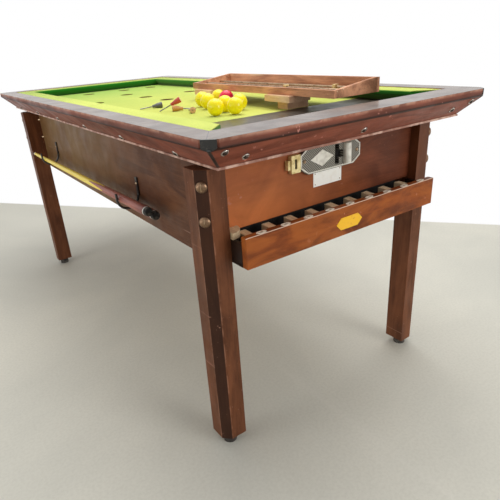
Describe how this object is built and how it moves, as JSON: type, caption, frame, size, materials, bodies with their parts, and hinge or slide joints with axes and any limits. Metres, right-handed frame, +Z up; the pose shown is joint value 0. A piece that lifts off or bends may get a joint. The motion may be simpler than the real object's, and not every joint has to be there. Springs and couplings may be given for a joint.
{
  "type": "bar billiards table",
  "caption": "Four-legged bar billiards table: cloth bed with holes, cushioned rails, ball tray, coin mechanism, cues on side hooks, balls, skittles and scoreboard.",
  "frame": {"origin": "on the floor, under the centre of the table's bounding box", "axes": "+Y from the player's end to the far end, +X to the player's right, +Z up"},
  "size_m": [0.89, 1.91, 0.9043],
  "materials": {
    "mahogany": "french polish, satin",
    "rail_wood": "worn french polish, glossy on top",
    "dark_wood": "dark gloss polish",
    "plywood": "raw",
    "pale_wood": "raw, rubbed",
    "cloth": "napped wool cloth",
    "cushion_cloth": "napped wool cloth over rubber",
    "liner": "dull black",
    "bolt_steel": "aged, slightly bronzed",
    "black_iron": "gloss black, chipped",
    "rubber": "dull",
    "cast_alloy": "cast, dull, hatched ground",
    "brass": "tarnished",
    "works_steel": "grey paint",
    "white_plate": "off-white",
    "badge": "ochre paint",
    "yellow_ball": "polished",
    "red_ball": "polished",
    "cue_wood": "varnished ash, spliced butt",
    "grey_paint": "worn paint",
    "red_paint": "worn paint",
    "ochre_paint": "worn varnish",
    "natural_wood": "worn varnish",
    "board_wood": "old varnish",
    "scale_cream": "aged cream"
  },
  "bodies": {
    "cabinet": {"leg_front_left": "mahogany", "leg_front_right": "mahogany", "leg_rear_left": "mahogany", "leg_rear_right": "mahogany", "rail_left": "rail_wood", "rail_right": "rail_wood", "rail_front": "rail_wood", "rail_rear": "rail_wood", "side_panel_left": "mahogany", "side_panel_right": "mahogany", "end_panel_front": "mahogany", "end_panel_rear": "mahogany", "inner_framing": "plywood", "corner_caps": "black_iron", "table_bolts": "bolt_steel", "bed_board": "plywood", "bed_cloth": "cloth", "baulk_board": "dark_wood", "pocket_liners": "liner", "cushion_left": "cushion_cloth", "cushion_right": "cushion_cloth", "cushion_rear": "cushion_cloth", "return_board": "plywood", "coin_plate": "cast_alloy", "instruction_plate": "white_plate", "coin_head": "works_steel", "cue_hooks": "black_iron", "small_screws": "brass", "tray_front": "mahogany", "tray_floor": "mahogany", "tray_dividers": "pale_wood", "tray_plates": "badge"},
    "foot_front_left": {"foot_front_left": "rubber"},
    "foot_front_right": {"foot_front_right": "rubber"},
    "foot_rear_left": {"foot_rear_left": "rubber"},
    "foot_rear_right": {"foot_rear_right": "rubber"},
    "cash_drawer": {"cash_drawer": "works_steel"},
    "cash_lock": {"cash_lock": "brass"},
    "coin_slide": {"coin_slide": "brass"},
    "ball_gate": {"ball_gate": "works_steel"},
    "cue_1": {"cue_1": "cue_wood"},
    "cue_2": {"cue_2": "cue_wood"},
    "scoreboard": {"scoreboard_frame": "board_wood", "scoreboard_scales": "scale_cream", "scoreboard_rods": "bolt_steel", "scoreboard_feet": "pale_wood"},
    "pointer_1": {"pointer_1": "brass"},
    "pointer_2": {"pointer_2": "brass"},
    "yellow_ball_1": {"yellow_ball_1": "yellow_ball"},
    "yellow_ball_2": {"yellow_ball_2": "yellow_ball"},
    "yellow_ball_3": {"yellow_ball_3": "yellow_ball"},
    "yellow_ball_4": {"yellow_ball_4": "yellow_ball"},
    "yellow_ball_5": {"yellow_ball_5": "yellow_ball"},
    "yellow_ball_6": {"yellow_ball_6": "yellow_ball"},
    "yellow_ball_7": {"yellow_ball_7": "yellow_ball"},
    "red_ball": {"red_ball": "red_ball"},
    "skittle_1": {"skittle_1": "grey_paint"},
    "skittle_2": {"skittle_2": "red_paint"},
    "skittle_3": {"skittle_3": "ochre_paint"},
    "skittle_4": {"skittle_4": "natural_wood"}
  },
  "joints": [
    {"name": "foot_front_left_turn", "type": "hinge", "parent": "cabinet", "child": "foot_front_left", "pos_m": [-0.366, -0.7985, 0], "axis": [0, 0, 1], "continuous": true},
    {"name": "foot_front_right_turn", "type": "hinge", "parent": "cabinet", "child": "foot_front_right", "pos_m": [0.366, -0.7985, 0], "axis": [0, 0, 1], "continuous": true},
    {"name": "foot_rear_left_turn", "type": "hinge", "parent": "cabinet", "child": "foot_rear_left", "pos_m": [-0.366, 0.7985, 0], "axis": [0, 0, 1], "continuous": true},
    {"name": "foot_rear_right_turn", "type": "hinge", "parent": "cabinet", "child": "foot_rear_right", "pos_m": [0.366, 0.7985, 0], "axis": [0, 0, 1], "continuous": true},
    {"name": "cash_drawer_slide", "type": "slide", "parent": "cabinet", "child": "cash_drawer", "axis": [1, 0, 0], "range_m": [0, 0.2]},
    {"name": "cash_lock_turn", "type": "hinge", "parent": "cash_drawer", "child": "cash_lock", "pos_m": [0.33, -0.645, 0.6623], "axis": [1, 0, 0], "range_deg": [0, 90]},
    {"name": "coin_slide_pull", "type": "slide", "parent": "cabinet", "child": "coin_slide", "axis": [-1, 0, 0], "range_m": [0, 0.038]},
    {"name": "ball_gate_lift", "type": "hinge", "parent": "cabinet", "child": "ball_gate", "pos_m": [0, -0.77, 0.622], "axis": [1, 0, 0], "range_deg": [0, 85]},
    {"name": "cue_1_lift", "type": "slide", "parent": "cabinet", "child": "cue_1", "axis": [0, 0, 1], "range_m": [0, 0.05]},
    {"name": "cue_2_draw", "type": "slide", "parent": "cabinet", "child": "cue_2", "axis": [0.0145, -0.9999, 0.0045], "range_m": [0, 0.1]},
    {"name": "scoreboard_lift", "type": "slide", "parent": "cabinet", "child": "scoreboard", "axis": [0, 0, 1], "range_m": [0, 0.08]},
    {"name": "pointer_1_slide", "type": "slide", "parent": "scoreboard", "child": "pointer_1", "axis": [0, 1, 0], "range_m": [-0.235, 0.449]},
    {"name": "pointer_2_slide", "type": "slide", "parent": "scoreboard", "child": "pointer_2", "axis": [0, 1, 0], "range_m": [-0.09, 0.594]},
    {"name": "yellow_ball_1_lift", "type": "slide", "parent": "cabinet", "child": "yellow_ball_1", "axis": [0, 0, 1], "range_m": [0, 0.06]},
    {"name": "yellow_ball_2_lift", "type": "slide", "parent": "cabinet", "child": "yellow_ball_2", "axis": [0, 0, 1], "range_m": [0, 0.06]},
    {"name": "yellow_ball_3_lift", "type": "slide", "parent": "cabinet", "child": "yellow_ball_3", "axis": [0, 0, 1], "range_m": [0, 0.06]},
    {"name": "yellow_ball_4_lift", "type": "slide", "parent": "cabinet", "child": "yellow_ball_4", "axis": [0, 0, 1], "range_m": [0, 0.06]},
    {"name": "yellow_ball_5_lift", "type": "slide", "parent": "cabinet", "child": "yellow_ball_5", "axis": [0, 0, 1], "range_m": [0, 0.06]},
    {"name": "yellow_ball_6_lift", "type": "slide", "parent": "cabinet", "child": "yellow_ball_6", "axis": [0, 0, 1], "range_m": [0, 0.06]},
    {"name": "yellow_ball_7_lift", "type": "slide", "parent": "cabinet", "child": "yellow_ball_7", "axis": [0, 0, 1], "range_m": [0, 0.06]},
    {"name": "red_ball_lift", "type": "slide", "parent": "cabinet", "child": "red_ball", "axis": [0, 0, 1], "range_m": [0, 0.06]},
    {"name": "skittle_1_lift", "type": "slide", "parent": "cabinet", "child": "skittle_1", "axis": [0, 0, 1], "range_m": [0, 0.06]},
    {"name": "skittle_2_lift", "type": "slide", "parent": "cabinet", "child": "skittle_2", "axis": [0, 0, 1], "range_m": [0, 0.06]},
    {"name": "skittle_3_draw", "type": "slide", "parent": "cabinet", "child": "skittle_3", "axis": [0.9403, -0.3404, 0], "range_m": [0, 0.05]},
    {"name": "skittle_4_lift", "type": "slide", "parent": "cabinet", "child": "skittle_4", "axis": [0, 0, 1], "range_m": [0, 0.06]}
  ],
  "couplings": [
    {"joint": "ball_gate_lift", "follows": "coin_slide_pull", "rad_per_m": 39}
  ]
}
